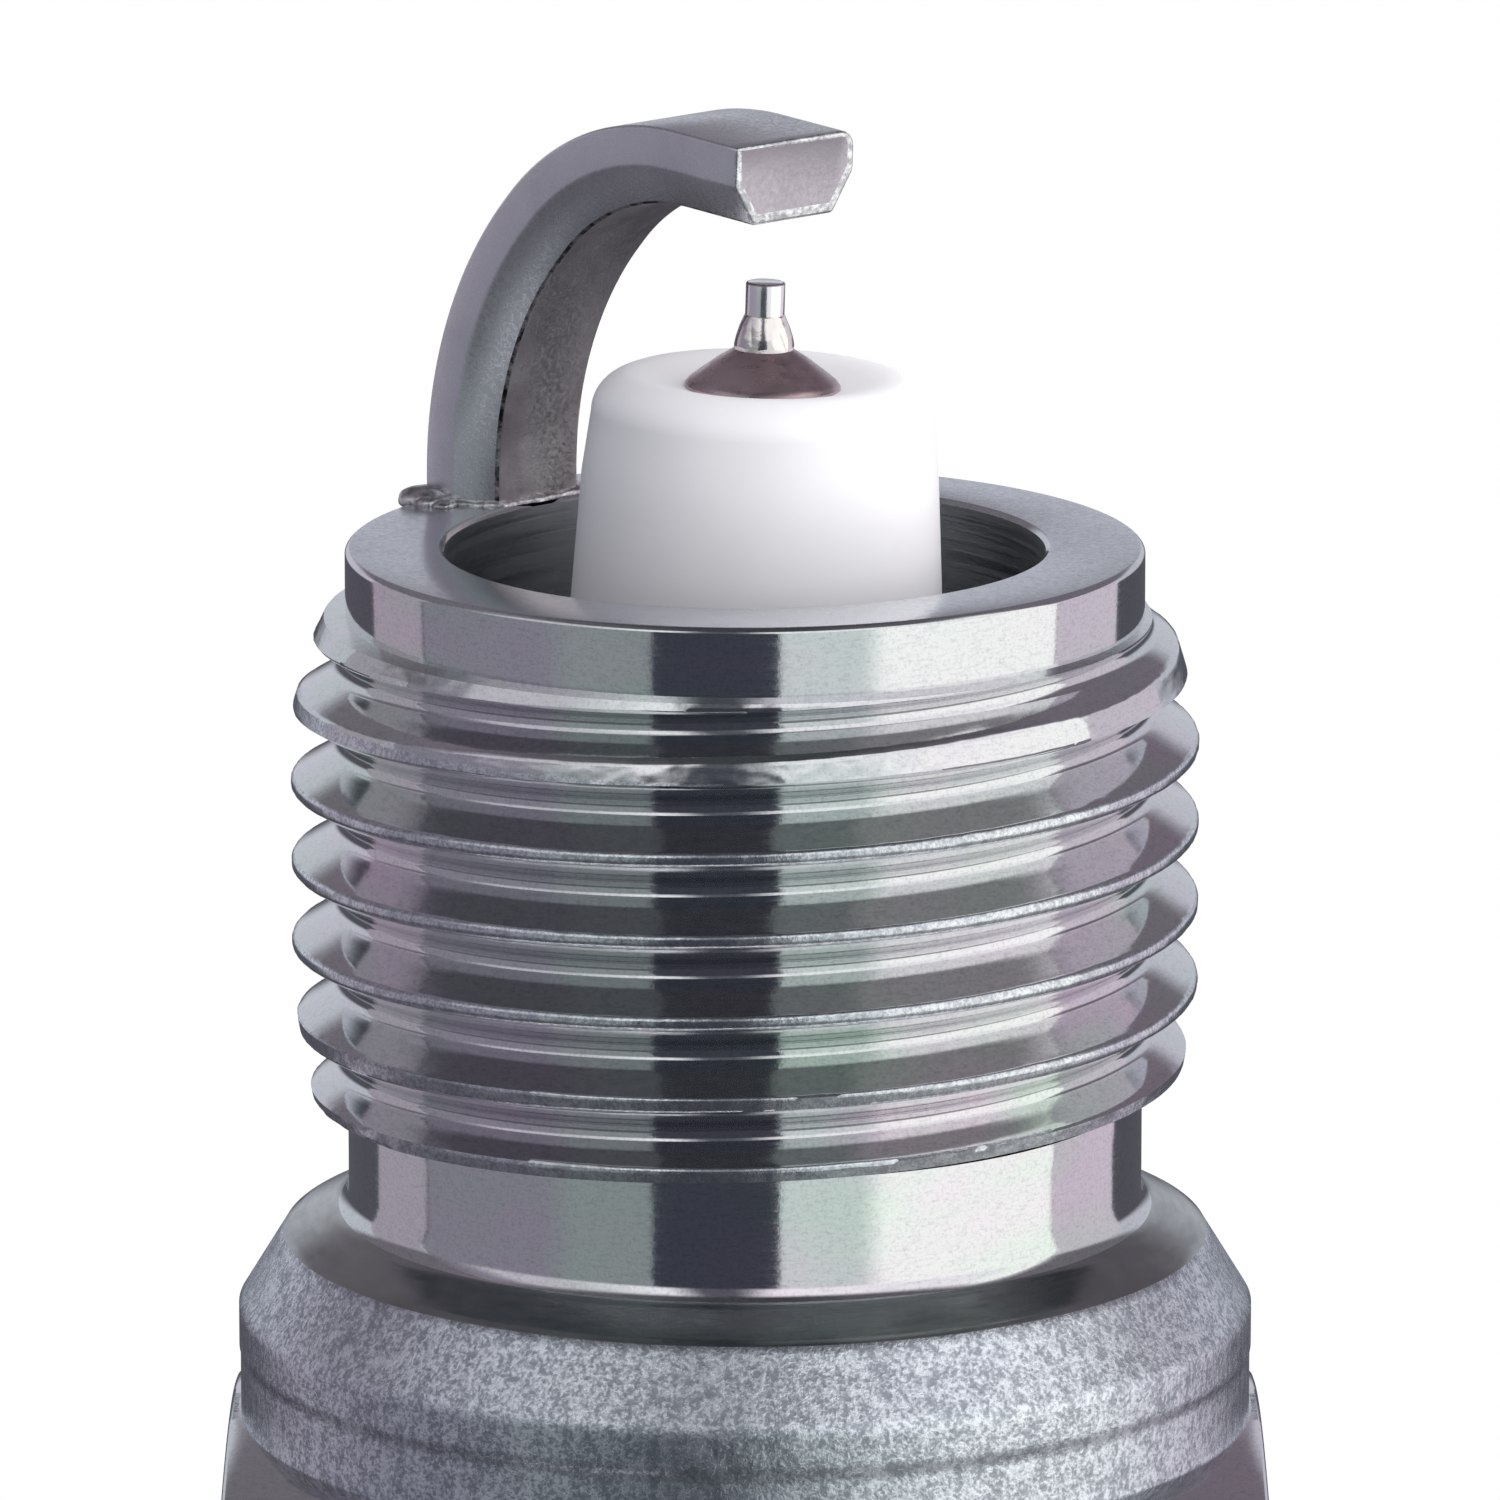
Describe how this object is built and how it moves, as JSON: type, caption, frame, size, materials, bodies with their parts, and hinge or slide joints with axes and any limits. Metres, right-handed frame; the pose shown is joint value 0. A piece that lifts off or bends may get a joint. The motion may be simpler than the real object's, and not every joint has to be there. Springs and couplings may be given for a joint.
{
  "type": "spark plug",
  "caption": "Spark plug with a conical seat, hexagonal steel shell, 14 mm thread, ribbed ceramic insulator, bent ground electrode and fine-wire centre tip.",
  "frame": {"origin": "on the plug's axis, in the gauge plane of the conical seat where the cone is 14.8 mm across", "axes": "+Z along the axis towards the firing end; the ground electrode's foot is 133 degrees about +Z from +X; two hexagon flats face +X and -X"},
  "size_m": [0.016, 0.0184, 0.0707],
  "materials": {
    "plated_steel": "clear zinc plating over turned steel, satin with faint colour tints",
    "nickel_alloy": "drawn nickel alloy bar, satin grey",
    "weld_metal": "rough resistance weld flash",
    "alumina": "matte white at the nose, clear glazed outside the shell",
    "electrode_alloy": "turned nickel alloy with a brown tint",
    "copper": "drawn copper",
    "iridium": "polished iridium alloy wire",
    "laser_weld": "smooth remelted bead",
    "glass_seal": "fired glass and copper powder",
    "resistor_mix": "fired carbon and glass",
    "terminal_steel": "nickel plated",
    "packing_steel": "plain cold-rolled",
    "talc": "pressed powder"
  },
  "bodies": {
    "plug": {"metal_shell": "plated_steel", "ground_electrode": "nickel_alloy", "ground_electrode_weld": "weld_metal", "insulator": "alumina", "center_electrode": "electrode_alloy", "copper_core": "copper", "iridium_tip": "iridium", "tip_weld": "laser_weld", "plate_packing": "packing_steel", "talc_fill": "talc", "packing_ring_lower": "packing_steel", "packing_ring_upper": "packing_steel", "lower_glass_seal": "glass_seal", "resistor": "resistor_mix", "upper_glass_seal": "glass_seal", "terminal_stud": "terminal_steel"},
    "terminal_cap": {"terminal_nut": "terminal_steel"}
  },
  "joints": [
    {"name": "terminal_nut_slide", "type": "slide", "parent": "plug", "child": "terminal_cap", "axis": [0, 0, -1], "range_m": [0, 0.0082]}
  ]
}
